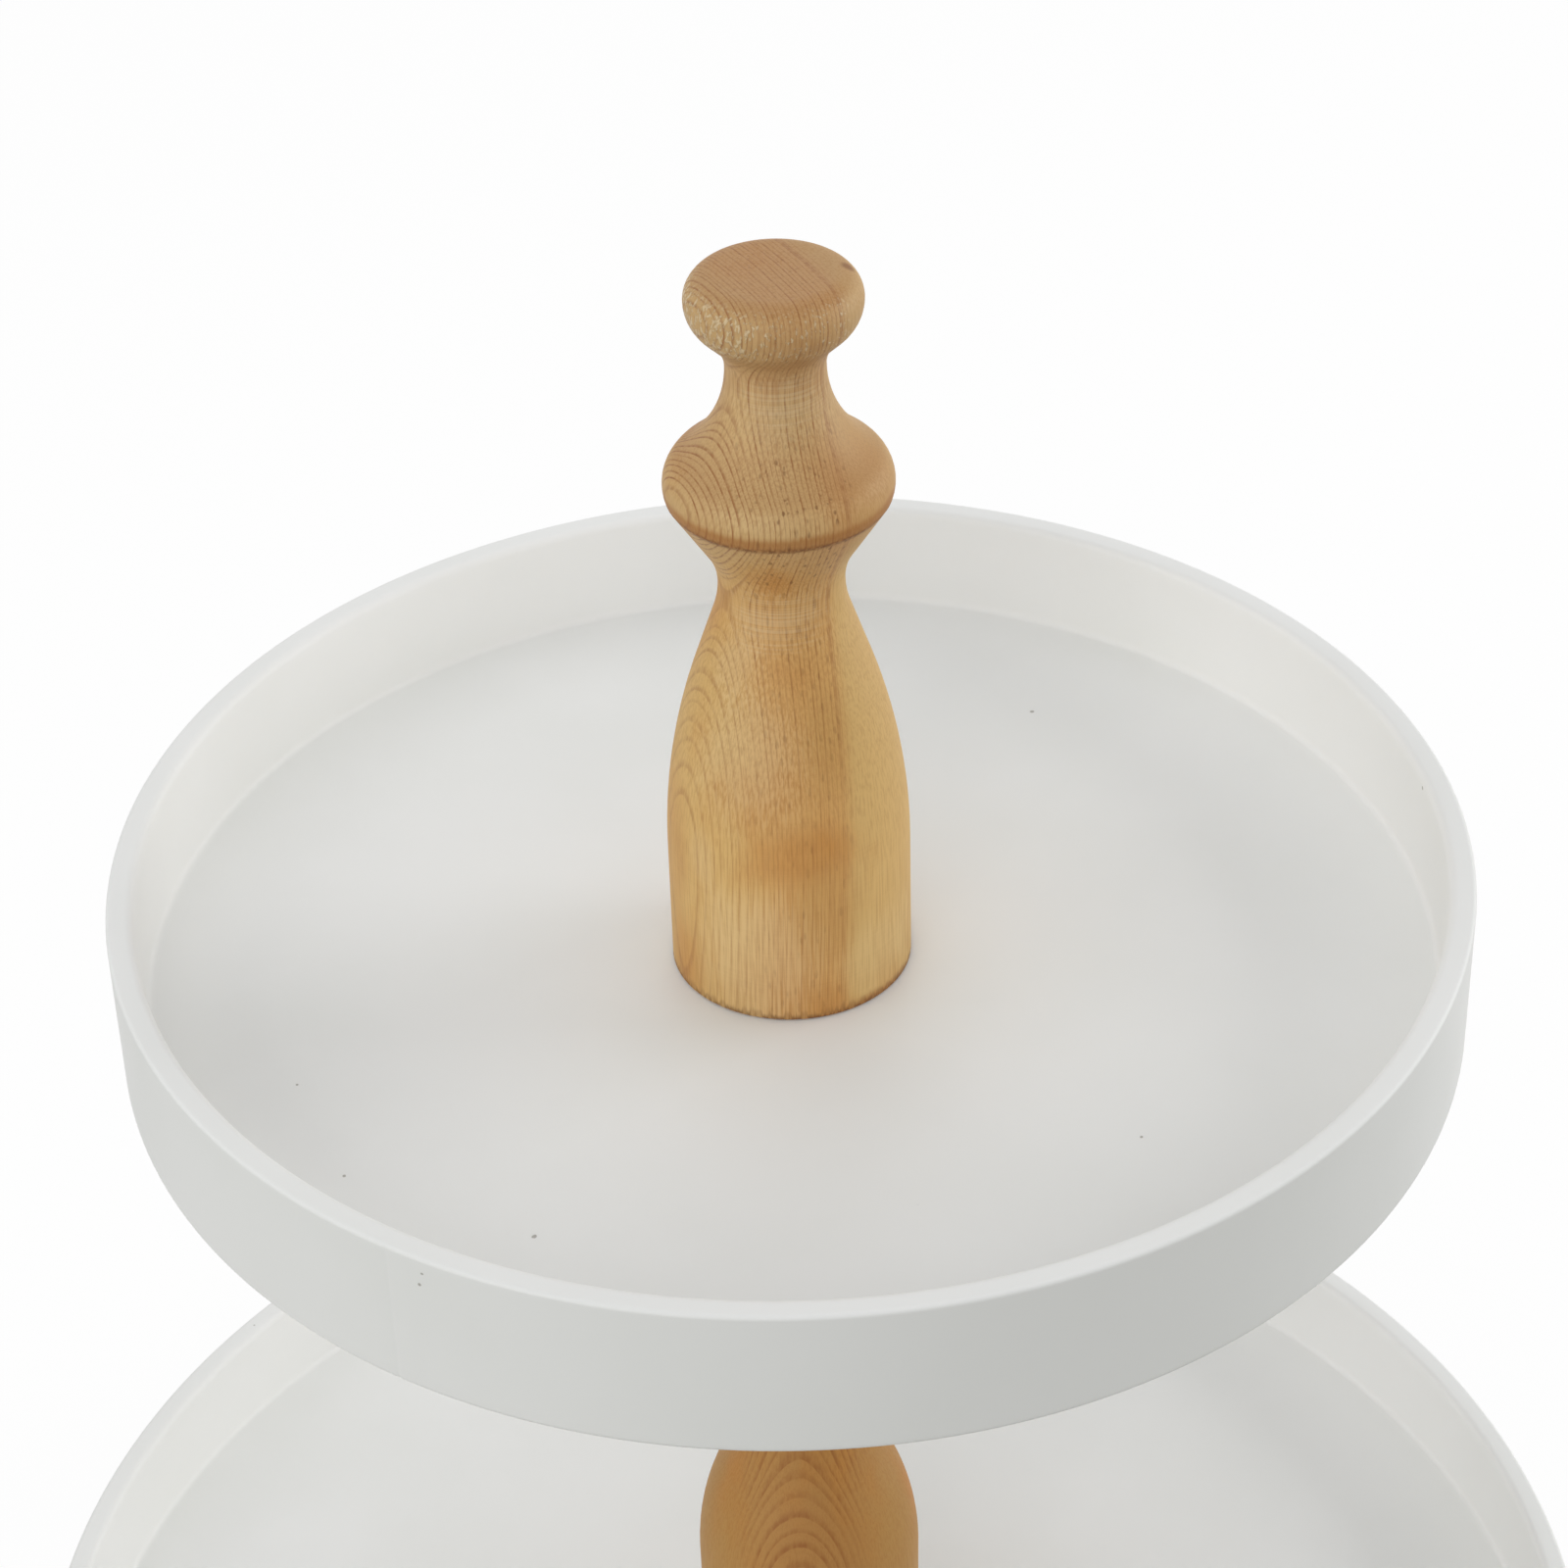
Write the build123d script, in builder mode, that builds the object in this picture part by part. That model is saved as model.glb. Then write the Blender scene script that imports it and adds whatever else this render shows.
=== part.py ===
from build123d import *
from math import cos, radians, sin
import os

# Two-tier wooden cake stand: two painted trays on a turned post, clamped by a turned handle.
# +Z is up and the origin is on the table under the centre. All lengths are millimetres.

# Trays: a bent hoop glued round a flat disc, flush with it underneath
upper_tray_diameter = 254.0
lower_tray_diameter = 330.0
hoop_thickness = 5.0
hoop_height = 30.5
floor_thickness = 8.0
glue_gap = 0.05
rim_edge_radius = 1.2
hoop_foot_radius = 1.0

# Feet: rubber bumpers stuck under the lower tray
foot_count = 4
foot_first_angle = 45.0
foot_inset = 26.0
foot_height = 4.0
foot_rest_radius = 8.0
foot_top_radius = 9.0
foot_edge_radius = 0.8

# Screw hardware: one thread size throughout, drawn as plain cylinders
thread_diameter = 8.0
thread_fit = 0.05
thread_lead_in = 0.8
insert_diameter = 12.0
insert_length = 15.0
insert_flange_diameter = 15.0
insert_flange_thickness = 1.5
insert_recess = 0.5
insert_fit = 0.05
thread_overrun = 0.5
bore_relief = 4.0
tray_hole_clearance = 0.4

# Base bolt: a flat-headed furniture bolt on a wide washer, sunk into the lower tray's underside
washer_diameter = 24.0
washer_thickness = 1.5
washer_hole_clearance = 0.2
bolt_head_diameter = 17.0
bolt_head_height = 2.5
bolt_head_edge_radius = 0.8
hex_key_size = 5.0
hex_key_depth = 3.5
washer_recess_clearance = 1.0

# Bead turned on both the handle and the post: cove, cone, crisp arris, round-over, long hollow
cove_radius = 14.0
cove_angle = 32.0
arris_radius = 20.2
bead_radius = 7.0
bead_lift_angle = 18.0
bead_fall_angle = 53.0

# Handle: bottle-shaped grip with a shoulder, the bead, a thin neck and a mushroom knob
handle_base_radius = 22.6
handle_base_height = 25.9
handle_base_chamfer = 0.4
handle_shoulder_radius = 126.0
handle_throat_radius = 20.0
handle_shoulder_angle = 18.5
handle_waist_radius = 11.4
handle_neck_radius = 8.85
knob_flare_radius = 7.0
knob_flare_angle = 45.0
knob_radius = 15.6
knob_belly_radius = 7.5
knob_edge_radius = 5.0

# Post: swelling foot, belly and shoulder, the same bead, then a flared seat under the upper tray
post_foot_radius = 20.8
post_belly_radius = 23.2
post_belly_height = 48.0
post_shoulder_radius = 60.0
post_throat_radius = 65.0
post_shoulder_angle = 22.5
post_waist_radius = 12.0
post_neck_radius = 10.4
post_seat_radius = 22.0
post_flare_radius = 40.0
post_flare_angle = 20.0
post_seat_height = 13.5


def ogee(start, end_radius, first_radius, second_radius, angle):
    """Draw arc, straight cone and arc from an upright start to an upright end at end_radius."""
    turn = 1 if end_radius < start.X else -1
    lean = Vector(-turn * sin(radians(angle)), cos(radians(angle)))
    rounded = (first_radius + second_radius) * (1 - cos(radians(angle)))
    cone_length = (abs(end_radius - start.X) - rounded) / sin(radians(angle))
    first = JernArc(start, (0, 1), first_radius, turn * angle)
    cone = Line(first @ 1, (first @ 1) + lean * cone_length)
    second = JernArc(cone @ 1, lean, second_radius, -turn * angle)
    return second @ 1


def bead(waist, neck_radius):
    """Draw the bead from an upright waist to the upright neck above it."""
    rise = Vector(sin(radians(cove_angle)), cos(radians(cove_angle)))
    lift = Vector(sin(radians(bead_lift_angle)), cos(radians(bead_lift_angle)))
    fall = Vector(-sin(radians(bead_fall_angle)), cos(radians(bead_fall_angle)))
    cove = JernArc(waist, (0, 1), cove_radius, -cove_angle)
    cone_length = (arris_radius - (cove @ 1).X) / rise.X
    cone = Line(cove @ 1, (cove @ 1) + rise * cone_length)
    crown = JernArc(cone @ 1, lift, bead_radius, bead_lift_angle + bead_fall_angle)
    hollow_radius = ((crown @ 1).X - neck_radius) / (1 - fall.Y)
    hollow = JernArc(crown @ 1, fall, hollow_radius, -bead_fall_angle)
    return hollow @ 1


def close_to_axis(bottom, top):
    """Close a turned outline along its top face, the axis and its bottom face."""
    Polyline(top, (0, top.Y), (0, bottom.Y), bottom)


def threaded_bore(mouth):
    """Cut the stepped bore for a flanged insert, into the wood behind the plane of its mouth."""
    with Locations(mouth):
        CounterBoreHole(
            insert_diameter / 2 + insert_fit,
            insert_flange_diameter / 2 + insert_fit,
            insert_recess + insert_flange_thickness,
            insert_bore_depth,
        )


# Levels up the stand that the pieces share
lower_tray_bottom = foot_height
lower_floor_top = lower_tray_bottom + floor_thickness
thread_engagement = insert_recess + insert_length + thread_overrun
insert_bore_depth = thread_engagement + bore_relief
shank_hole_radius = thread_diameter / 2 + tray_hole_clearance
os.makedirs("parts", exist_ok=True)

# Post: its outline fixes where the upper tray sits
with BuildPart() as post:
    with BuildSketch(Plane.XZ):
        with BuildLine():
            post_foot = Vector(post_foot_radius, lower_floor_top)
            belly = Vector(post_belly_radius, lower_floor_top + post_belly_height)
            TangentArc(belly, post_foot, tangent=(0, -1))
            post_waist = ogee(
                belly, post_waist_radius, post_shoulder_radius, post_throat_radius, post_shoulder_angle
            )
            post_neck = bead(post_waist, post_neck_radius)
            seat = ogee(
                post_neck, post_seat_radius, post_flare_radius, post_flare_radius, post_flare_angle
            )
            post_top = Vector(post_seat_radius, seat.Y + post_seat_height)
            Line(seat, post_top)
            close_to_axis(post_foot, post_top)
        make_face()
    revolve(axis=Axis.Z)
    upper_tray_bottom = post_top.Y
    upper_floor_top = upper_tray_bottom + floor_thickness
    post_mouth_down = Plane((0, 0, lower_floor_top), z_dir=(0, 0, -1))
    post_mouth_up = Plane((0, 0, upper_tray_bottom), z_dir=(0, 0, 1))
    threaded_bore(post_mouth_down)
    threaded_bore(post_mouth_up)
post.part.label = "post"
export_step(post.part, "parts/post.step")

# Handle: sits on the upper tray's floor
with BuildPart() as handle:
    with BuildSketch(Plane.XZ):
        with BuildLine():
            grip_foot = Vector(handle_base_radius, upper_floor_top)
            grip_top = grip_foot + Vector(0, handle_base_height)
            Line(grip_foot, grip_top)
            handle_waist = ogee(
                grip_top,
                handle_waist_radius,
                handle_shoulder_radius,
                handle_throat_radius,
                handle_shoulder_angle,
            )
            handle_neck = bead(handle_waist, handle_neck_radius)
            flare_lean = Vector(sin(radians(knob_flare_angle)), cos(radians(knob_flare_angle)))
            flare = JernArc(handle_neck, (0, 1), knob_flare_radius, -knob_flare_angle)
            knob_side = knob_radius - knob_belly_radius * (1 - flare_lean.Y)
            knob_cone = Line(
                flare @ 1, (flare @ 1) + flare_lean * ((knob_side - (flare @ 1).X) / flare_lean.X)
            )
            knob_belly = JernArc(knob_cone @ 1, flare_lean, knob_belly_radius, knob_flare_angle)
            knob_edge = JernArc(knob_belly @ 1, (0, 1), knob_edge_radius, 90)
            close_to_axis(grip_foot, knob_edge @ 1)
        make_face()
    revolve(axis=Axis.Z)
    chamfer(handle.edges().filter_by(GeomType.CIRCLE).sort_by(Axis.Z)[0], handle_base_chamfer)
    handle_mouth = Plane((0, 0, upper_floor_top), z_dir=(0, 0, -1))
    threaded_bore(handle_mouth)
handle.part.label = "handle"
export_step(handle.part, "parts/handle.step")

# Threaded inserts: a flanged sleeve in each bore, its flange on the step of the bore
insert_mouths = {
    "handle_insert": handle_mouth,
    "post_top_insert": post_mouth_up,
    "post_bottom_insert": post_mouth_down,
}
for name, mouth in insert_mouths.items():
    flange_plane = mouth.offset(-insert_recess)
    with BuildPart() as insert:
        with BuildSketch(flange_plane):
            Circle(insert_diameter / 2)
        extrude(amount=-insert_length)
        sleeve_end = insert.edges().sort_by(Axis(mouth.origin, mouth.z_dir))[0]
        chamfer(sleeve_end, thread_lead_in)
        with BuildSketch(flange_plane):
            Circle(insert_flange_diameter / 2)
        extrude(amount=-insert_flange_thickness)
        with Locations(flange_plane):
            Hole(thread_diameter / 2 + thread_fit)
    insert.part.label = name
    export_step(insert.part, f"parts/{name}.step")

# Tie stud: threaded rod from the post's top insert, through the upper tray, into the handle's insert
with BuildPart() as tie_stud:
    with BuildSketch(Plane.XY.offset(upper_tray_bottom - thread_engagement)):
        Circle(thread_diameter / 2)
    extrude(amount=floor_thickness + 2 * thread_engagement)
    chamfer(tie_stud.edges().filter_by(GeomType.CIRCLE), thread_lead_in)
tie_stud.part.label = "tie_stud"
export_step(tie_stud.part, "parts/tie_stud.step")

# Tray walls: the hoops, with rounded rims
tray_sizes = {
    "upper_tray": (upper_tray_diameter / 2, upper_tray_bottom),
    "lower_tray": (lower_tray_diameter / 2, lower_tray_bottom),
}
for tray, (outer_radius, bottom) in tray_sizes.items():
    with BuildPart() as wall:
        with BuildSketch(Plane.XZ) as section:
            with Locations((outer_radius - hoop_thickness / 2, bottom + hoop_height / 2)):
                Rectangle(hoop_thickness, hoop_height)
            fillet(section.vertices().group_by(Axis.Y)[-1], rim_edge_radius)
            fillet(section.vertices().group_by(Axis.Y)[0].sort_by(Axis.X)[-1], hoop_foot_radius)
        revolve(axis=Axis.Z)
    wall.part.label = f"{tray}_wall"
    export_step(wall.part, f"parts/{tray}_wall.step")

# Upper tray floor: disc with the stud's hole
with BuildPart() as upper_tray_floor:
    with BuildSketch(Plane.XY.offset(upper_tray_bottom)):
        Circle(upper_tray_diameter / 2 - hoop_thickness - glue_gap)
        Circle(shank_hole_radius, mode=Mode.SUBTRACT)
    extrude(amount=floor_thickness)
upper_tray_floor.part.label = "upper_tray_floor"
export_step(upper_tray_floor.part, "parts/upper_tray_floor.step")

# Lower tray floor: disc with the bolt's hole, sunk from below for the washer and the bolt's head
underside = Plane((0, 0, lower_tray_bottom), z_dir=(0, 0, -1))
washer_recess_depth = bolt_head_height + washer_thickness
with BuildPart() as lower_tray_floor:
    with BuildSketch(Plane.XY.offset(lower_tray_bottom)):
        Circle(lower_tray_diameter / 2 - hoop_thickness - glue_gap)
    extrude(amount=floor_thickness)
    with Locations(underside):
        CounterBoreHole(
            shank_hole_radius, washer_diameter / 2 + washer_recess_clearance, washer_recess_depth
        )
lower_tray_floor.part.label = "lower_tray_floor"
export_step(lower_tray_floor.part, "parts/lower_tray_floor.step")

# Base washer: against the ceiling of the recess
washer_top = lower_tray_bottom + washer_recess_depth
with BuildPart() as base_washer:
    with BuildSketch(Plane.XY.offset(washer_top)):
        Circle(washer_diameter / 2)
        Circle(thread_diameter / 2 + washer_hole_clearance, mode=Mode.SUBTRACT)
    extrude(amount=-washer_thickness)
base_washer.part.label = "base_washer"
export_step(base_washer.part, "parts/base_washer.step")

# Base bolt: head flush with the underside, shank up into the post's bottom insert
with BuildPart() as base_bolt:
    with BuildSketch(Plane.XY.offset(lower_tray_bottom)):
        Circle(bolt_head_diameter / 2)
    extrude(amount=bolt_head_height)
    fillet(base_bolt.edges().sort_by(Axis.Z)[0], bolt_head_edge_radius)
    head_top = lower_tray_bottom + bolt_head_height
    with BuildSketch(Plane.XY.offset(head_top)):
        Circle(thread_diameter / 2)
    extrude(amount=lower_floor_top + thread_engagement - head_top)
    chamfer(base_bolt.edges().sort_by(Axis.Z)[-1], thread_lead_in)
    with BuildSketch(underside):
        RegularPolygon(hex_key_size / 2, 6, major_radius=False)
    extrude(amount=-hex_key_depth, mode=Mode.SUBTRACT)
base_bolt.part.label = "base_bolt"
export_step(base_bolt.part, "parts/base_bolt.step")

# Feet: tapered bumpers with a rounded lower edge
foot_circle_radius = lower_tray_diameter / 2 - foot_inset
with BuildPart() as feet:
    with PolarLocations(foot_circle_radius, foot_count, foot_first_angle):
        Cone(
            foot_rest_radius, foot_top_radius, foot_height, align=(Align.CENTER, Align.CENTER, Align.MIN)
        )
    fillet(feet.edges().filter_by(GeomType.CIRCLE).group_by(Axis.Z)[0], foot_edge_radius)
feet.part.label = "feet"
export_step(feet.part, "parts/feet.step")
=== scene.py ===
from math import atan2, cos, pi, radians, sin

import bmesh
import bpy
from mathutils import Matrix, Vector


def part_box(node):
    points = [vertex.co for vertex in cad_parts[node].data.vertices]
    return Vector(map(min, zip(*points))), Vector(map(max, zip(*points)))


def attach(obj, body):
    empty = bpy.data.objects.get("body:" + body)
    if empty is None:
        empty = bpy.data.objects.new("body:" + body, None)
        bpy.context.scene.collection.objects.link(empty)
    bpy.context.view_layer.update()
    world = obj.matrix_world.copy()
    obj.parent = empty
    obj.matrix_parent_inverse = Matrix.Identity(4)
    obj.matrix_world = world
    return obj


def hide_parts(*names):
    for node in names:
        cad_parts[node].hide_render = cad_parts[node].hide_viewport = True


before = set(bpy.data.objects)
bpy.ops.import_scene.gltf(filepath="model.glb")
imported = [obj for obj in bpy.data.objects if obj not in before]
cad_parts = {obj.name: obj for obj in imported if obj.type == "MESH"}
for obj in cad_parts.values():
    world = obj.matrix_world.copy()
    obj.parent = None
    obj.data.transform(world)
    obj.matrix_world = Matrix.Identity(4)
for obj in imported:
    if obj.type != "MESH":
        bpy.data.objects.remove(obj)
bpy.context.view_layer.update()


# Feet: four small rubber bumpers, moulded black and stuck under the lower tray.
# The dark rubber has a matt skin with fine dust in it.
MILLIMETRES = 1000
RUBBER_BLACK = (0.012, 0.012, 0.012, 1)
RUBBER_DUST = (0.05, 0.048, 0.045, 1)
RUBBER_PITS = 0.00006


class Shade:
    """One output in a node tree; arithmetic on it adds Math nodes."""

    def __init__(self, finish, socket):
        self.finish = finish
        self.socket = socket

    def math(self, operation, *values):
        sockets = dict(enumerate((self, *values)))
        return self.finish.node("Math", {"operation": operation}, sockets)

    def flipped(self, operation, value):
        return self.finish.node("Math", {"operation": operation}, {0: value, 1: self})

    def __add__(self, value):
        return self.math("ADD", value)

    def __radd__(self, value):
        return self.flipped("ADD", value)

    def __sub__(self, value):
        return self.math("SUBTRACT", value)

    def __rsub__(self, value):
        return self.flipped("SUBTRACT", value)

    def __mul__(self, value):
        return self.math("MULTIPLY", value)

    def __rmul__(self, value):
        return self.flipped("MULTIPLY", value)

    def __truediv__(self, value):
        return self.math("DIVIDE", value)

    def between(self, start, end):
        """Rise smoothly from 0 at start to 1 at end."""
        settings = {"interpolation_type": "SMOOTHSTEP"}
        return self.finish.node("MapRange", settings, {0: self, 1: start, 2: end, 3: 0.0, 4: 1.0})


class Finish:
    """A surface under construction: makes nodes, and hands back their outputs."""

    def __init__(self, owner):
        owner.use_nodes = True
        self.owner = owner
        self.tree = owner.node_tree

    def feed(self, socket, value):
        if isinstance(value, Shade):
            self.tree.links.new(value.socket, socket)
        else:
            socket.default_value = value

    def node(self, kind, settings=None, sockets=None, output=0):
        made = self.tree.nodes.new("ShaderNode" + kind)
        for key, value in (settings or {}).items():
            setattr(made, key, value)
        for key, value in (sockets or {}).items():
            self.feed(made.inputs[key], value)
        return Shade(self, made.outputs[output])

    def place(self, *scales):
        """Object coordinates in millimetres, each multiplied by its own scale."""
        spot = self.node("TexCoord", output="Object")
        factors = tuple(MILLIMETRES * scale for scale in scales)
        return self.node("VectorMath", {"operation": "MULTIPLY"}, {0: spot, 1: factors})

    def noise(self, place, scale, detail=2.0):
        sockets = {"Vector": place, "Scale": scale, "Detail": detail}
        return self.node("TexNoise", {"noise_dimensions": "3D"}, sockets)

    def mix(self, factor, first, second):
        return self.node("Mix", {"data_type": "RGBA"}, {0: factor, 6: first, 7: second}, 2)

    def bump(self, height, depth, strength):
        sockets = {"Height": height, "Distance": depth, "Strength": strength}
        return self.node("Bump", None, sockets)

    def surface(self, **sockets):
        shader = self.tree.nodes["Principled BSDF"]
        for key, value in sockets.items():
            self.feed(shader.inputs[key.replace("_", " ")], value)


def wear(node, finish):
    """Give a CAD node's object a finish."""
    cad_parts[node].material_slots[0].material = finish.owner


rubber = Finish(bpy.data.materials.new("black_rubber"))
rubber_dust = rubber.noise(rubber.place(1, 1, 1), 0.6, 4.0)
rubber_skin = rubber.noise(rubber.place(1, 1, 1), 5.0)
rubber.surface(
    Base_Color=rubber.mix(rubber_dust, RUBBER_BLACK, RUBBER_DUST),
    Roughness=0.6 + rubber_dust * 0.25,
    Normal=rubber.bump(rubber_skin, RUBBER_PITS, 0.5),
)
wear("feet", rubber)


# Lower tray: a hoop bent from a thin board and glued round a disc, filled, sanded and painted white.
# The paint runs from the hoop to the floor in one skin, so hoop and disc show as one piece.
PAINT_WHITE = (0.892, 0.899, 0.887, 1)
PAINT_SHADE = (0.869, 0.878, 0.861, 1)
PAINT_SPECK = (0.20, 0.17, 0.13, 1)
ROLLER_MARKS = 0.00005
SHANK_HOLE = 0.0044
WASHER_RECESS = 0.013
HOOP_THICKNESS = 0.005
RIM_OUTER_ROUND = 0.0008
RIM_INNER_ROUND = 0.0016
HOOP_FOOT_ROUND = 0.001
PAINT_FILLET = 0.0012
HOLE_ROUND = 0.0003
ROUND_SEGMENTS = 6
TRAY_STEPS = 236
JOINT_STEPS = 4
MERGE_DISTANCE = 1e-6
JOINT_WIDTH = 0.0016
JOINT_DEPTH = 0.00013
LOWER_JOINT_ANGLE = radians(35)


def satin_paint(name, flaws):
    """Satin white paint; flaws are (x, y, z, radius) of specks in millimetres."""
    paint = Finish(bpy.data.materials.new(name))
    place = paint.place(1, 1, 1)
    cloud = paint.noise(place, 0.022, 3.0)
    roller = paint.noise(place, 0.9, 3.0)
    dust = paint.node("TexVoronoi", {"feature": "F1"}, {"Vector": place, "Scale": 0.045})
    specks = 0.7 - dust.between(0.008, 0.016) * 0.7
    ragged = paint.noise(place, 1.4) - 0.5
    for x, y, z, radius in flaws:
        gap = paint.node("VectorMath", {"operation": "DISTANCE"}, {0: place, 1: (x, y, z)}, 1)
        rough = gap + ragged * radius
        specks = specks.math("MAXIMUM", 1 - rough.between(radius * 0.6, radius))
    skin = paint.mix(cloud.between(0.3, 0.75), PAINT_WHITE, PAINT_SHADE)
    paint.surface(
        Base_Color=paint.mix(specks * 0.6, skin, PAINT_SPECK),
        Roughness=0.44 + cloud * 0.12 + specks * 0.2,
        Specular_IOR_Level=0.35,
        Normal=paint.bump(roller + cloud * 2 - specks * 2, ROLLER_MARKS, 0.35),
    )
    return paint


def outline_corner(bm, point, before, after, rounding):
    """Add a corner of an outline, with a vertex close by on both sides so that flat faces stay flat."""
    corner = bm.verts.new(point)
    reach = rounding * 1.5
    lead = bm.verts.new(corner.co + (before - corner.co).normalized() * reach)
    trail = bm.verts.new(corner.co + (after - corner.co).normalized() * reach)
    return lead, corner, trail


def painted_tray(name, corners, joint_angle):
    """Spin a tray from its outline; corners are (radius, height, rounding), anticlockwise."""
    bm = bmesh.new()
    turn = Matrix.Rotation(joint_angle, 3, "Z")
    points = [turn @ Vector((radius, 0, height)) for radius, height, rounding in corners]
    outline = []
    rounded = []
    for i, (radius, height, rounding) in enumerate(corners):
        after = points[(i + 1) % len(points)]
        outline += outline_corner(bm, points[i], points[i - 1], after, rounding)
        rounded.append((outline[-2], rounding))
    for i, vertex in enumerate(outline):
        bm.edges.new((outline[i - 1], vertex))
    for vertex, rounding in rounded:
        bmesh.ops.bevel(
            bm,
            geom=[vertex],
            offset=rounding,
            segments=ROUND_SEGMENTS,
            profile=0.5,
            affect="VERTICES",
            material=-1,
        )
    outer = max(radius for radius, height, rounding in corners)
    joint_turn = JOINT_WIDTH / outer
    profile = bm.verts[:] + bm.edges[:]
    spins = ((2 * pi - joint_turn, TRAY_STEPS), (joint_turn, JOINT_STEPS))
    for angle, steps in spins:
        spun = bmesh.ops.spin(bm, geom=profile, axis=(0, 0, 1), angle=angle, steps=steps)
        profile = spun["geom_last"]
    bmesh.ops.remove_doubles(bm, verts=bm.verts, dist=MERGE_DISTANCE)
    # The glued joint: the outer skin sinks in a shallow groove on each side of it.
    for vertex in bm.verts:
        radius = vertex.co.to_2d().length
        beside = (atan2(vertex.co.y, vertex.co.x) - joint_angle + pi) % (2 * pi) - pi
        beside = abs(abs(beside) - joint_turn / 2) / (joint_turn / 2)
        if radius > outer - HOOP_THICKNESS / 2 and beside < 0.9:
            sink = JOINT_DEPTH * (1 - beside)
            vertex.co.xy *= 1 - sink / radius
    bmesh.ops.recalc_face_normals(bm, faces=bm.faces)
    for face in bm.faces:
        face.smooth = True
    mesh = bpy.data.meshes.new(name)
    bm.to_mesh(mesh)
    bm.free()
    tray = bpy.data.objects.new(name, mesh)
    bpy.context.collection.objects.link(tray)
    return tray


lower_floor_low, lower_floor_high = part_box("lower_tray_floor")
lower_wall_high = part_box("lower_tray_wall")[1]
washer_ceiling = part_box("base_washer")[1].z
lower_radius = lower_wall_high.x
lower_tray = painted_tray(
    "lower_tray",
    (
        (WASHER_RECESS, lower_floor_low.z, HOLE_ROUND),
        (lower_radius, lower_floor_low.z, HOOP_FOOT_ROUND),
        (lower_radius, lower_wall_high.z, RIM_OUTER_ROUND),
        (lower_radius - HOOP_THICKNESS, lower_wall_high.z, RIM_INNER_ROUND),
        (lower_radius - HOOP_THICKNESS, lower_floor_high.z, PAINT_FILLET),
        (SHANK_HOLE, lower_floor_high.z, HOLE_ROUND),
        (SHANK_HOLE, washer_ceiling, HOLE_ROUND),
        (WASHER_RECESS, washer_ceiling, HOLE_ROUND),
    ),
    LOWER_JOINT_ANGLE,
)
lower_floor = lower_floor_high.z * MILLIMETRES
LOWER_TRAY_FLAWS = ((-62, 118, lower_floor, 0.5), (20, 130, lower_floor, 0.4))
lower_tray.data.materials.append(satin_paint("lower_tray_paint", LOWER_TRAY_FLAWS).owner)
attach(lower_tray, "base")
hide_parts("lower_tray_floor", "lower_tray_wall")


# Base bolt and washer: a flat-headed furniture bolt on a wide washer, turned with a hex key from below.
# Both are zinc-plated steel, so dull and bluish, with the fine rings of turning.
ZINC_BLUE = (0.50, 0.52, 0.55, 1)
ZINC_PALE = (0.68, 0.68, 0.66, 1)
ZINC_SCRATCHES = 0.00002
zinc = Finish(bpy.data.materials.new("zinc_plate"))
zinc_cloud = zinc.noise(zinc.place(1, 1, 1), 0.5, 4.0)
zinc_scratch = zinc.noise(zinc.place(6, 6, 0.4), 1.0)
zinc.surface(
    Base_Color=zinc.mix(zinc_cloud, ZINC_BLUE, ZINC_PALE),
    Metallic=1.0,
    Roughness=0.28 + zinc_cloud * 0.22,
    Normal=zinc.bump(zinc_scratch, ZINC_SCRATCHES, 0.4),
)
wear("base_bolt", zinc)
wear("base_washer", zinc)


# Post: turned on a lathe from one pine blank, oiled, with its flat-sawn face to the front.
# The growth rings are layers in the blank, so the turned swell shows them as nested arches.
PINE_RING = (0.28, 0.092, 0.018, 1)
PINE_AMBER = (0.52, 0.225, 0.045, 1)
PINE_OLIVE = (0.43, 0.24, 0.062, 1)
PINE_GREY = (0.565, 0.37, 0.185, 1)
PINE_FRESH = (0.75, 0.54, 0.25, 1)
# A pale fibre tone, also used for painted glints and painted sheen.
PINE_PALE_AND_HIGHLIGHT = (0.80, 0.66, 0.42, 1)
PINE_BURNT = (0.38, 0.15, 0.03, 1)
PINE_DARK = (0.15, 0.052, 0.013, 1)
PINE_GRAIN = 0.00007
NEVER_WORN = -100
NEVER_TORN = 1000


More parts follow.
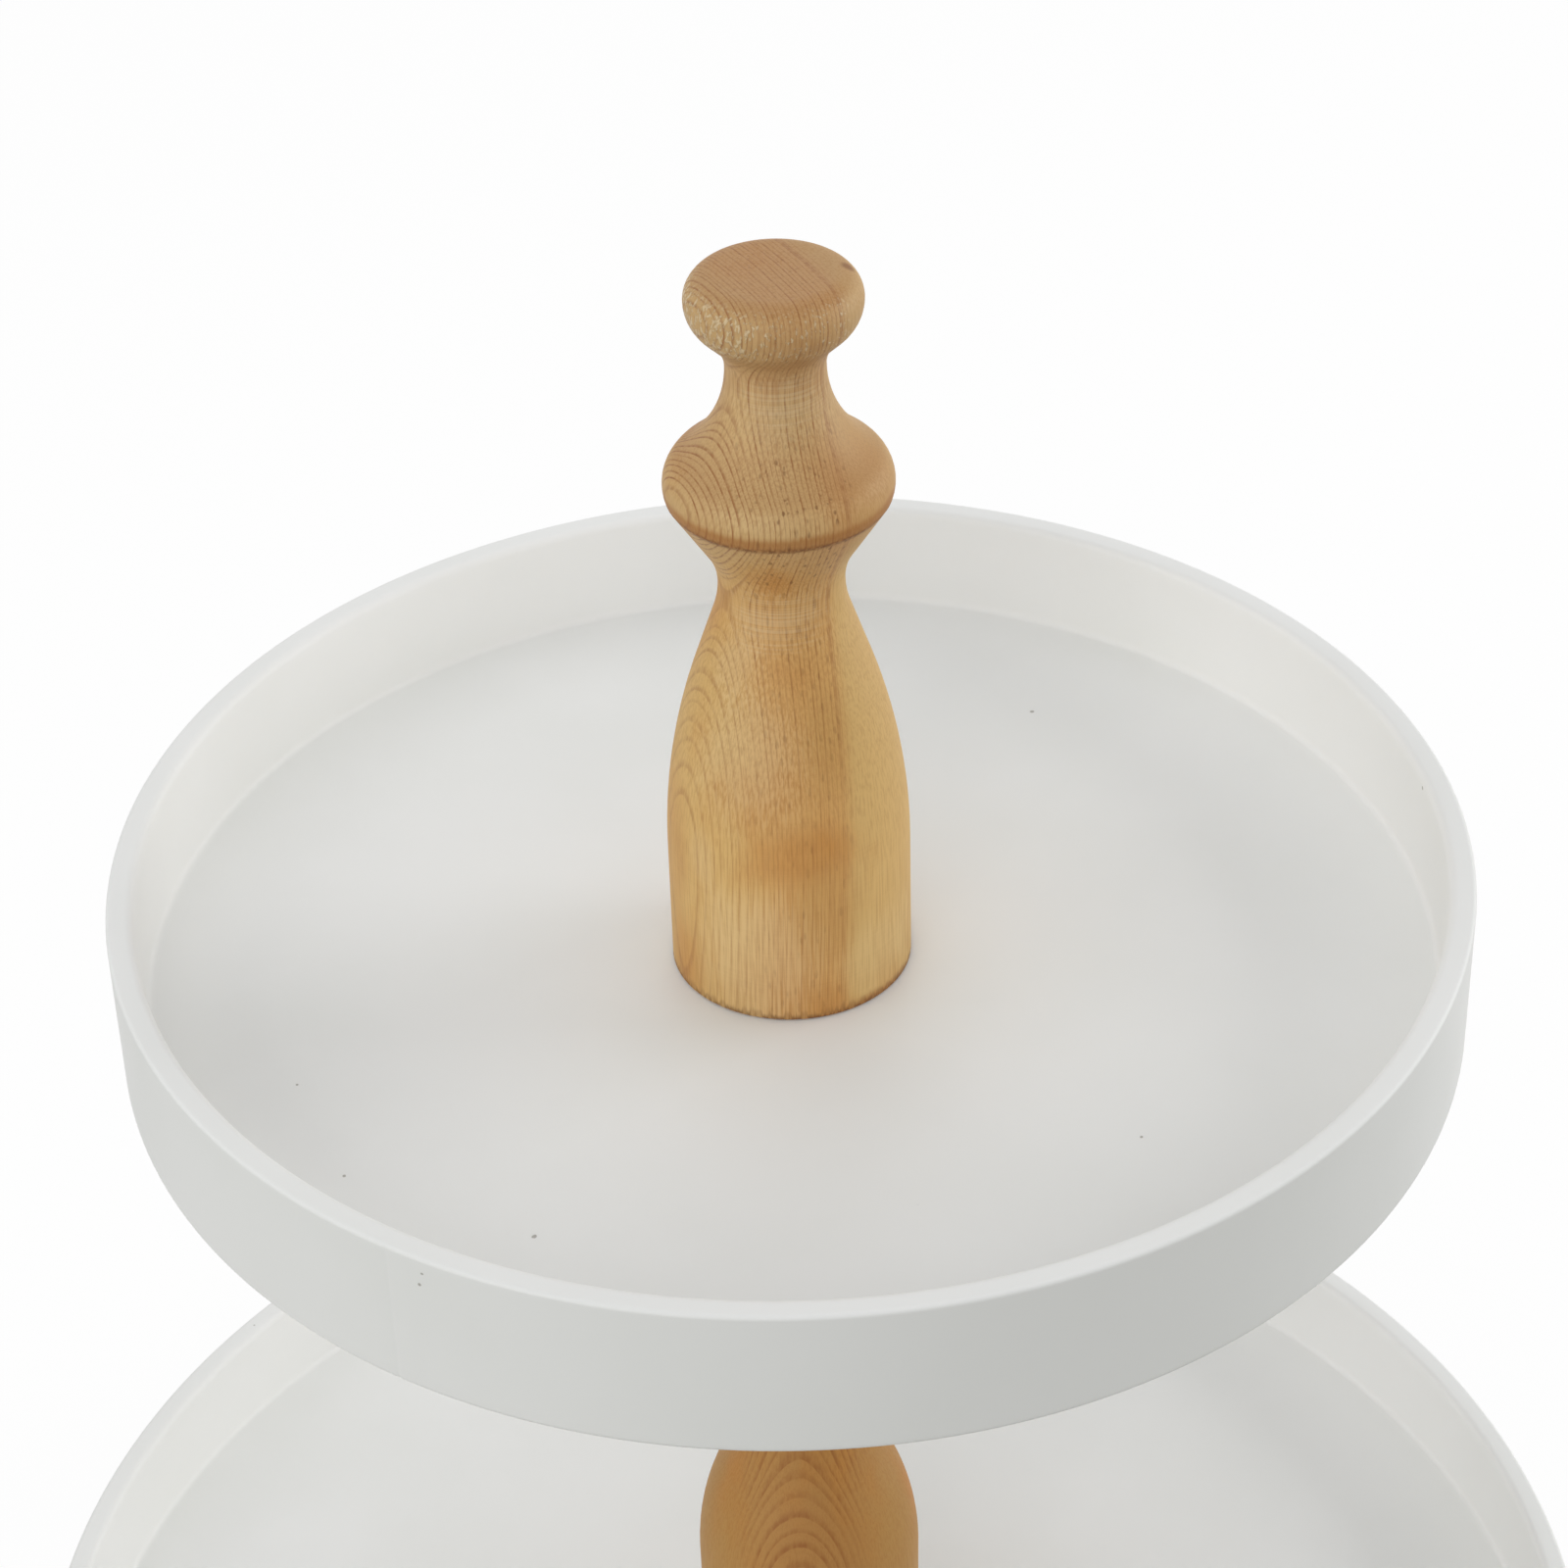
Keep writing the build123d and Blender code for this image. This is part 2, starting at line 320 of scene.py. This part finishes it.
def turned_pine(
    name,
    pale,
    warm,
    facing,
    lean,
    bend,
    ring_width,
    late_wood,
    reach,
    heart,
    worn,
    flecks,
    burns_and_contact_shade,
    marks,
    burnish_and_sheen,
    torn,
):
    """Oiled pine, in millimetres and Object coordinates.

    The growth rings face the angle facing, lean with height, bend sideways, fade at reach and are
    rubbed paler below the height worn. The dark part of each ring starts at the share late_wood, and
    heart is the depth at which the warm layers start and end. Dark flecks lie mostly in the 40 mm
    above worn. The list scorch holds dark lines as (height, half width, strength): burnt lines, and at
    a foot a dark rough edge that is painted contact shade where the piece stands on the part below.
    Marks lists (x, y, z, radius, height, colour, strength), and scuffs lists (x, y, z, radius, height)
    of pale patches that are burnish and partly a painted sheen. The grain is rough for 12 mm above the
    height torn, and the pale colour of its crumbs is partly a painted glint.
    """
    pine = Finish(bpy.data.materials.new(name))
    place = pine.place(1, 1, 1)
    x, y, z = (pine.node("SeparateXYZ", None, {0: place}, axis) for axis in range(3))
    drift = pine.noise(pine.place(0.03, 0.03, 0.009), 1.0, 1.0) - 0.5
    ripple = pine.noise(pine.place(0.14, 0.14, 0.03), 1.0, 1.0) - 0.5
    outward = x * cos(facing) + y * sin(facing) + z * lean
    sideways = y * cos(facing) - x * sin(facing)
    depth = outward - sideways * sideways * bend + drift * 2.2 + ripple * 0.35
    unevenness = pine.node("TexNoise", {"noise_dimensions": "1D"}, {"W": depth * 0.3, "Scale": 1.0})
    age = depth / ring_width + unevenness * 1.5
    harvest = pine.node("TexWhiteNoise", {"noise_dimensions": "1D"}, {"W": age.math("FLOOR")})
    season = age.math("FRACT")
    late = season.between(late_wood, 0.85) * (1 - season.between(0.9, 1.0))
    grown = depth.between(heart[0] - 2.5, heart[0] + 1.5)
    outer = depth.between(heart[1] - 6, heart[1] + 4)
    warmth = grown * (1 - outer)
    dashes = pine.noise(pine.place(0.9, 0.9, 0.2), 1.0, 2.0).between(0.34, 0.62)
    shown = (0.1 + grown * 0.9) * (1 - sideways.math("ABSOLUTE").between(reach * 0.6, reach * 1.2))
    shown = shown * (1 + outer * (z.between(worn, worn + 15) * 0.45 - 0.15))
    shown = shown * (0.6 + z.between(worn - 40, worn + 20) * 0.4)
    ring = late * (0.4 + harvest * 0.6) * (0.45 + dashes * 0.55) * shown
    last_ring = 1 - (depth - heart[0] - 0.6).math("ABSOLUTE").between(0.1, 0.45)
    last_ring = last_ring * (0.3 + z.between(worn - 40, worn) * 0.7)
    ring = ring.math("MAXIMUM", last_ring * (0.2 + dashes * 0.4))
    fibre = pine.noise(pine.place(3.0, 3.0, 0.1), 1.0, 4.0)
    turning = pine.noise(pine.place(0.03, 0.03, 2.6), 1.0, 2.0)
    blotch = pine.noise(pine.place(0.06, 0.06, 0.035), 1.0, 3.0)

    def spot(middle_x, middle_y, middle_z, radius, height):
        """1 at a point in the wood, falling unevenly to 0 at a radius beside it and a height above it."""
        flatness = radius / height
        points = {0: pine.place(1, 1, flatness), 1: (middle_x, middle_y, middle_z * flatness)}
        gap = pine.node("VectorMath", {"operation": "DISTANCE"}, points, 1)
        gap = gap + (blotch - 0.5) * radius + (fibre - 0.5) * radius
        return 1 - gap.between(radius * 0.3, radius)

    colour = pine.mix(warmth * (0.5 + blotch * 0.6), pale, warm)
    colour = pine.mix(blotch.between(0.48, 0.7) * (0.35 + warmth * 0.3), colour, PINE_AMBER)
    for *where, tint, strength in marks:
        colour = pine.mix(spot(*where) * strength, colour, tint)
    colour = pine.mix(ring * 0.78, colour, PINE_RING)
    weave = (fibre * 0.88 + turning * 0.12).between(0.42, 0.64)
    colour = pine.mix(weave * 0.22, colour, PINE_RING)
    # Pale patches with turning marks: burnish, and partly a painted sheen.
    for where in burnish_and_sheen:
        colour = pine.mix(spot(*where) * (0.3 + turning.between(0.42, 0.6)) * 0.22, colour, PINE_PALE_AND_HIGHLIGHT)
    pores = {"Vector": pine.place(0.75, 0.75, 0.2), "Scale": 1.0}
    cells = pine.node("TexVoronoi", {"feature": "F1"}, pores)
    fleck = (1 - cells.between(0.16, 0.3)) * dashes * grown * (1 - outer * 0.8)
    fleck = fleck * (0.35 + z.between(worn, worn + 20) * 0.65)
    fleck = fleck * (1 - z.between(worn + 30, worn + 40) * 0.7)
    colour = pine.mix(fleck * flecks, colour, PINE_DARK)
    facing_up = pine.node("SeparateXYZ", None, {0: pine.node("NewGeometry", output="Normal")}, 2)
    end_grain = facing_up.math("ABSOLUTE").between(0.5, 0.95)
    colour = pine.mix(end_grain * 0.3, colour, PINE_RING)
    ticks = pine.noise(pine.place(1.1, 1.1, 0.1), 1.0, 2.0).between(0.4, 0.6)
    # Dark lines: burnt lines, and at a foot painted contact shade where the piece meets the part below.
    for height, half_width, strength in burns_and_contact_shade:
        ragged = (z - height).math("ABSOLUTE") + (ticks - 0.5) * half_width * 0.6
        char_and_contact_shade = (1 - ragged.between(half_width * 0.3, half_width)) * (0.25 + ticks * 0.75)
        colour = pine.mix(char_and_contact_shade * strength, colour, PINE_DARK)
    # Torn grain on the knob: pale crumbs with relief, their pale colour partly a painted glint.
    lumps = pine.noise(pine.place(1.8, 1.8, 0.8), 1.0, 3.0)
    edge = z.between(torn, torn + 4) * (1 - z.between(torn + 10, torn + 12)) * (0.1 + grown * 0.9)
    rough = (lumps + outer * 0.07).between(0.57, 0.66) * edge
    colour = pine.mix(rough * 0.55, colour, PINE_PALE_AND_HIGHLIGHT)
    relief = fibre + ring * 0.5 + turning * 0.4 - fleck * 0.3 + rough * 3 + lumps * edge * 2.5
    pine.surface(
        Base_Color=colour,
        Roughness=0.48 + fibre * 0.16 - ring * 0.06 - rough * 0.2,
        Specular_IOR_Level=0.32,
        Normal=pine.bump(relief, PINE_GRAIN, 0.6),
    )
    return pine


post_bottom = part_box("post")[0].z * MILLIMETRES
post_pine = turned_pine(
    "post_pine",
    pale=(0.60, 0.375, 0.125, 1),
    warm=(0.43, 0.205, 0.05, 1),
    facing=radians(-96),
    lean=0.004,
    bend=0.022,
    ring_width=1.35,
    late_wood=0.27,
    reach=13,
    heart=(-30, 60),
    worn=NEVER_WORN,
    flecks=0.1,
    # A dark line at the foot: painted contact shade where the post stands on the lower tray.
    burns_and_contact_shade=((post_bottom, 0.6, 0.9),),
    marks=(
        (2, -25, post_bottom + 50, 17, 70, PINE_BURNT, 0.34),
        (-21, -9, post_bottom + 55, 15, 45, PINE_OLIVE, 0.5),
        (21, -9, post_bottom + 50, 15, 45, PINE_OLIVE, 0.5),
    ),
    burnish_and_sheen=(),
    torn=NEVER_TORN,
)
wear("post", post_pine)


# Post inserts: threaded sleeves turned from brass, one screwed into each end of the post.
# The lower one takes the base bolt, and the upper one holds the stud.
BRASS_DULL = (0.60, 0.42, 0.17, 1)
BRASS_BRIGHT = (0.78, 0.60, 0.30, 1)
BRASS_RINGS = 0.00002
brass = Finish(bpy.data.materials.new("insert_brass"))
brass_cloud = brass.noise(brass.place(1, 1, 1), 0.7, 3.0)
brass_rings = brass.noise(brass.place(0.1, 0.1, 5), 1.0)
brass.surface(
    Base_Color=brass.mix(brass_cloud, BRASS_DULL, BRASS_BRIGHT),
    Metallic=1.0,
    Roughness=0.25 + brass_cloud * 0.2,
    Normal=brass.bump(brass_rings, BRASS_RINGS, 0.5),
)
wear("post_bottom_insert", brass)
wear("post_top_insert", brass)


# Upper tray: made as the lower one is, smaller, and clamped between the post and the handle.
# Its hoop's glued joint shows as a faint upright line at the front left, under the paint.
UPPER_JOINT_ANGLE = radians(-122.5)
upper_floor_low, upper_floor_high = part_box("upper_tray_floor")
upper_wall_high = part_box("upper_tray_wall")[1]
upper_radius = upper_wall_high.x
upper_tray = painted_tray(
    "upper_tray",
    (
        (SHANK_HOLE, upper_floor_low.z, HOLE_ROUND),
        (upper_radius, upper_floor_low.z, HOOP_FOOT_ROUND),
        (upper_radius, upper_wall_high.z, RIM_OUTER_ROUND),
        (upper_radius - HOOP_THICKNESS, upper_wall_high.z, RIM_INNER_ROUND),
        (upper_radius - HOOP_THICKNESS, upper_floor_high.z, PAINT_FILLET),
        (SHANK_HOLE, upper_floor_high.z, HOLE_ROUND),
    ),
    UPPER_JOINT_ANGLE,
)
upper_floor = upper_floor_high.z * MILLIMETRES
upper_rim = upper_wall_high.z * MILLIMETRES
UPPER_TRAY_FLAWS = (
    (50.5, 76.1, upper_floor, 0.5),
    (-46.3, -80.3, upper_floor, 0.55),
    (-91.1, -37, upper_floor, 0.35),
    (-80.7, -62.8, upper_floor, 0.4),
    (61.3, -58.4, upper_floor, 0.4),
    (-63.4, -110, upper_rim - 5.9, 0.4),
    (-62.8, -110.4, upper_rim - 3.2, 0.35),
    (121, 17, upper_rim - 2, 0.5),
)
upper_tray.data.materials.append(satin_paint("upper_tray_paint", UPPER_TRAY_FLAWS).owner)
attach(upper_tray, "upper_tray")
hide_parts("upper_tray_floor", "upper_tray_wall")


# Tie stud: a length of zinc-plated threaded rod from the post, through the upper tray, to the handle.
# It stays in the post, and the handle screws down on it and clamps the tray.
wear("tie_stud", zinc)


# Handle: turned from a straight-grained pine blank and oiled, with its flat-sawn face to the left.
# The gouge has scorched the crisp edge of the bead, and a brass insert in its foot takes the stud.
handle_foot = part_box("handle")[0].z * MILLIMETRES
ARRIS_HEIGHT = 101.3
handle_arris = handle_foot + ARRIS_HEIGHT
handle_pine = turned_pine(
    "handle_pine",
    pale=(0.65, 0.42, 0.152, 1),
    warm=(0.64, 0.345, 0.11, 1),
    facing=radians(-153),
    lean=0.04,
    bend=0.0035,
    ring_width=0.86,
    late_wood=0.55,
    reach=100,
    heart=(7.8, 24.5),
    worn=handle_foot + 80,
    flecks=0.7,
    # The burnt line at the bead's arris, and at the foot a painted contact shade where the handle stands
    # on the tray.
    burns_and_contact_shade=((handle_arris - 0.2, 0.9, 0.8), (handle_foot, 2.2, 1.0)),
    marks=(
        (0, 0, handle_foot + 126, 200, 46, PINE_GREY, 0.6),
        (17, -12, handle_foot + 108, 18, 16, PINE_AMBER, 0.36),
        (0, -20, handle_foot + 108, 13, 10, PINE_FRESH, 0.4),
        (0, -10, handle_foot + 121, 14, 9, PINE_FRESH, 0.35),
        (17, -15, handle_foot + 9, 13, 13, PINE_FRESH, 0.42),
        (0, 0, handle_arris + 0.9, 80, 2.1, PINE_BURNT, 0.75),
        (3, -22, handle_foot + 37, 13, 8, PINE_AMBER, 0.5),
        (-19, -10, handle_foot + 6, 9, 14, PINE_AMBER, 0.5),
        (-7, -21.5, handle_foot + 12, 16, 22, PINE_PALE_AND_HIGHLIGHT, 0.22),
        # Darker wood at the foot's right front: painted contact shade where the handle meets the tray.
        (16, -15, handle_foot, 15, 3, PINE_BURNT, 0.8),
        (-16, -15.8, handle_foot + 33, 4, 8, PINE_PALE_AND_HIGHLIGHT, 0.12),
        (-15.7, -11.7, handle_foot + 64, 0.9, 2.2, PINE_DARK, 0.6),
        (-9, -20.3, handle_foot + 55, 16, 18, PINE_PALE_AND_HIGHLIGHT, 0.19),
        (-11, -14, handle_foot + 74, 9, 11, PINE_PALE_AND_HIGHLIGHT, 0.2),
        (-22, -6, handle_foot + 30, 9, 22, PINE_AMBER, 0.3),
        (6.5, -21.6, handle_foot + 24, 9, 16, PINE_OLIVE, 0.25),
        (8.5, -19, handle_foot + 62, 7, 17, PINE_OLIVE, 0.3),
        (8, -15.5, handle_foot + 137, 4, 3, PINE_BURNT, 0.5),
        (12.9, 2.2, handle_foot + 144, 1.8, 2, PINE_DARK, 0.7),
    ),
    # Pale front patches at the waist and neck: burnish, and partly a painted sheen.
    burnish_and_sheen=((-2, -12.5, handle_foot + 81, 12, 8), (2, -9, handle_foot + 124, 12, 9)),
    torn=handle_foot + 132.5,
)
wear("handle", handle_pine)
wear("handle_insert", brass)


# Studio: a pale table, and soft boxes at both sides, in front, behind and overhead.
# The camera has the photograph's angle and distance.
TABLE_RADIUS = 4.0
bm = bmesh.new()
bmesh.ops.create_circle(bm, cap_ends=True, segments=96, radius=TABLE_RADIUS)
table_mesh = bpy.data.meshes.new("table")
bm.to_mesh(table_mesh)
bm.free()
table = bpy.data.objects.new("table", table_mesh)
bpy.context.collection.objects.link(table)

WHITE = (1, 1, 1, 1)
TABLE_LIFT = 0.95
TABLE_BOUNCE = (0.153, 0.154, 0.118, 1)


def seen_directly(finish):
    """1 for rays from the camera, reflections and glass, 0 for the light that falls on things."""
    kinds = ("Camera", "Glossy", "Transmission")
    rays = [finish.node("LightPath", output=f"Is {kind} Ray") for kind in kinds]
    return rays[0].math("MAXIMUM", rays[1]).math("MAXIMUM", rays[2])


table_top = Finish(bpy.data.materials.new("white_table"))
table_seen = seen_directly(table_top)
table_top.surface(
    Base_Color=table_top.mix(table_seen, TABLE_BOUNCE, WHITE), Roughness=0.9, Specular_IOR_Level=0.1
)
table_glow = table_top.node("Emission", None, {"Color": WHITE, "Strength": 1.0})
table_shader = Shade(table_top, table_top.tree.nodes["Principled BSDF"].outputs[0])
lifted = table_top.node(
    "MixShader", None, {0: table_seen * TABLE_LIFT, 1: table_shader, 2: table_glow}
)
table_top.feed(table_top.tree.nodes["Material Output"].inputs["Surface"], lifted)
table_mesh.materials.append(table_top.owner)

ROOM_LIGHT = 0.463
room = bpy.context.scene.world or bpy.data.worlds.new("white_room")
bpy.context.scene.world = room
walls = Finish(room)
wall_level = ROOM_LIGHT + seen_directly(walls) * (1 - ROOM_LIGHT)
background = walls.tree.nodes["Background"]
walls.feed(background.inputs["Color"], WHITE)
walls.feed(background.inputs["Strength"], wall_level)

# Each soft box has a name, a place, a width and a power.
LIGHT_TARGET = Vector((0, 0, 0.2))
soft_boxes = (
    ("left_box", (-1.45, -0.25, 0.9), 1.2, 4.2),
    ("right_box", (1.55, 0.45, 0.62), 1.0, 12.9),
    ("front_box", (-0.4, -1.7, 0.95), 1.2, 7.7),
    ("low_front_box", (-1.1, -1.3, 0.5), 1.0, 3.9),
    ("back_box", (0, 1.6, 0.9), 1.2, 1.1),
    ("top_box", (-0.1, 0.34, 0.8), 0.6, 0.63),
)
for name, spot, size, power in soft_boxes:
    lamp = bpy.data.lights.new(name, "AREA")
    lamp.size = size
    lamp.energy = power
    box = bpy.data.objects.new(name, lamp)
    box.location = spot
    box.visible_camera = False
    box.rotation_euler = (LIGHT_TARGET - Vector(spot)).to_track_quat("-Z", "Y").to_euler()
    bpy.context.collection.objects.link(box)

# The middle of the upper rim falls on RIM_PIXEL, and the picture is turned about it by VIEW_ROLL.
IMAGE_SIZE = 1600
FOCAL_PIXELS = 4200
SENSOR = 36
VIEW_DISTANCE = 0.7687
VIEW_ELEVATION = radians(36.445)
VIEW_ROLL = radians(-1.65)
RIM_PIXEL = (805.5, 868.3)
rim_centre = Vector((0, 0, upper_wall_high.z))
back = Vector((0, -cos(VIEW_ELEVATION), sin(VIEW_ELEVATION)))
right = Vector((1, 0, 0))
up = back.cross(right)
level = Matrix((right, -up, -back))
rolled = Matrix.Rotation(VIEW_ROLL, 3, "Z") @ level
aim = Vector((RIM_PIXEL[0] - IMAGE_SIZE / 2, RIM_PIXEL[1] - IMAGE_SIZE / 2, FOCAL_PIXELS))
swing = Vector((0, 0, 1)).rotation_difference(aim).to_matrix()
view = swing @ rolled
lens = bpy.data.cameras.new("camera")
lens.sensor_width = SENSOR
lens.lens = SENSOR * FOCAL_PIXELS / IMAGE_SIZE
camera = bpy.data.objects.new("camera", lens)
axes = Matrix((view[0], -view[1], -view[2])).transposed()
camera.matrix_world = Matrix.Translation(rim_centre + back * VIEW_DISTANCE) @ axes.to_4x4()
bpy.context.collection.objects.link(camera)
bpy.context.scene.camera = camera
bpy.context.scene.view_settings.view_transform = "Standard"
